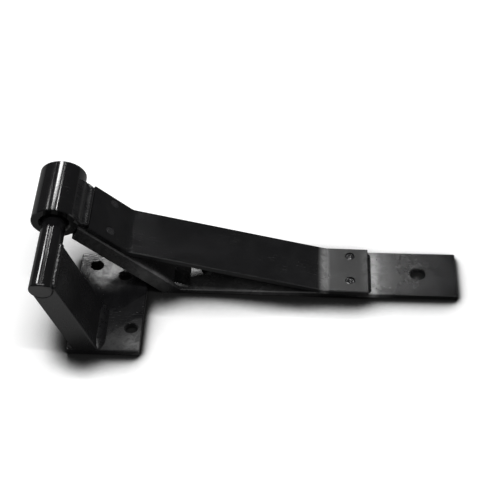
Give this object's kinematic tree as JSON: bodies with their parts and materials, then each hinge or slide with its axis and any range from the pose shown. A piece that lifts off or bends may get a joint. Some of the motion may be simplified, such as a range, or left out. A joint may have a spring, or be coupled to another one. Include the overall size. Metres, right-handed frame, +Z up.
{
  "type": "rising gate hinge",
  "caption": "Lower half of a lift-off rising gate hinge set: post plate with a leaning stand-off and pin, and a cranked, braced strap with an eye tube. Left hand, welded and painted black.",
  "frame": {"origin": "middle of the post plate's back face, the face that bears on the post", "axes": "+X along the strap towards the gate, +Y up the pin, +Z out of the faces of post and gate. It lies on its back in the picture, so +Z is up at rest."},
  "size_m": [0.3567, 0.1425, 0.0966],
  "materials": {
    "painted_bar": "satin black paint over mill bar, lightly scuffed",
    "painted_round_bar": "gloss black paint over turned bar and tube",
    "painted_weld": "gloss black paint over rippled weld"
  },
  "bodies": {
    "post_bracket": {"post_plate": "painted_bar", "standoff_bar": "painted_bar", "hinge_pin": "painted_round_bar", "foot_weld_right": "painted_weld", "foot_weld_left": "painted_weld", "foot_weld_end": "painted_weld", "pin_weld_right": "painted_weld", "pin_weld_left": "painted_weld"},
    "gate_strap": {"eye_tube": "painted_round_bar", "crank_bar": "painted_bar", "strap_bar": "painted_bar", "brace": "painted_bar", "eye_weld_top": "painted_weld", "eye_weld_under": "painted_weld", "crank_toe_weld": "painted_weld", "brace_end_weld": "painted_weld", "plug_weld_upper_near": "painted_weld", "plug_weld_upper_far": "painted_weld", "plug_weld_lower_near": "painted_weld", "plug_weld_lower_far": "painted_weld"}
  },
  "joints": [
    {"name": "strap_swing", "type": "hinge", "parent": "post_bracket", "child": "gate_strap", "pos_m": [-0.0425, 0, 0.077], "axis": [0, -1, 0], "range_deg": [0, 110]}
  ]
}
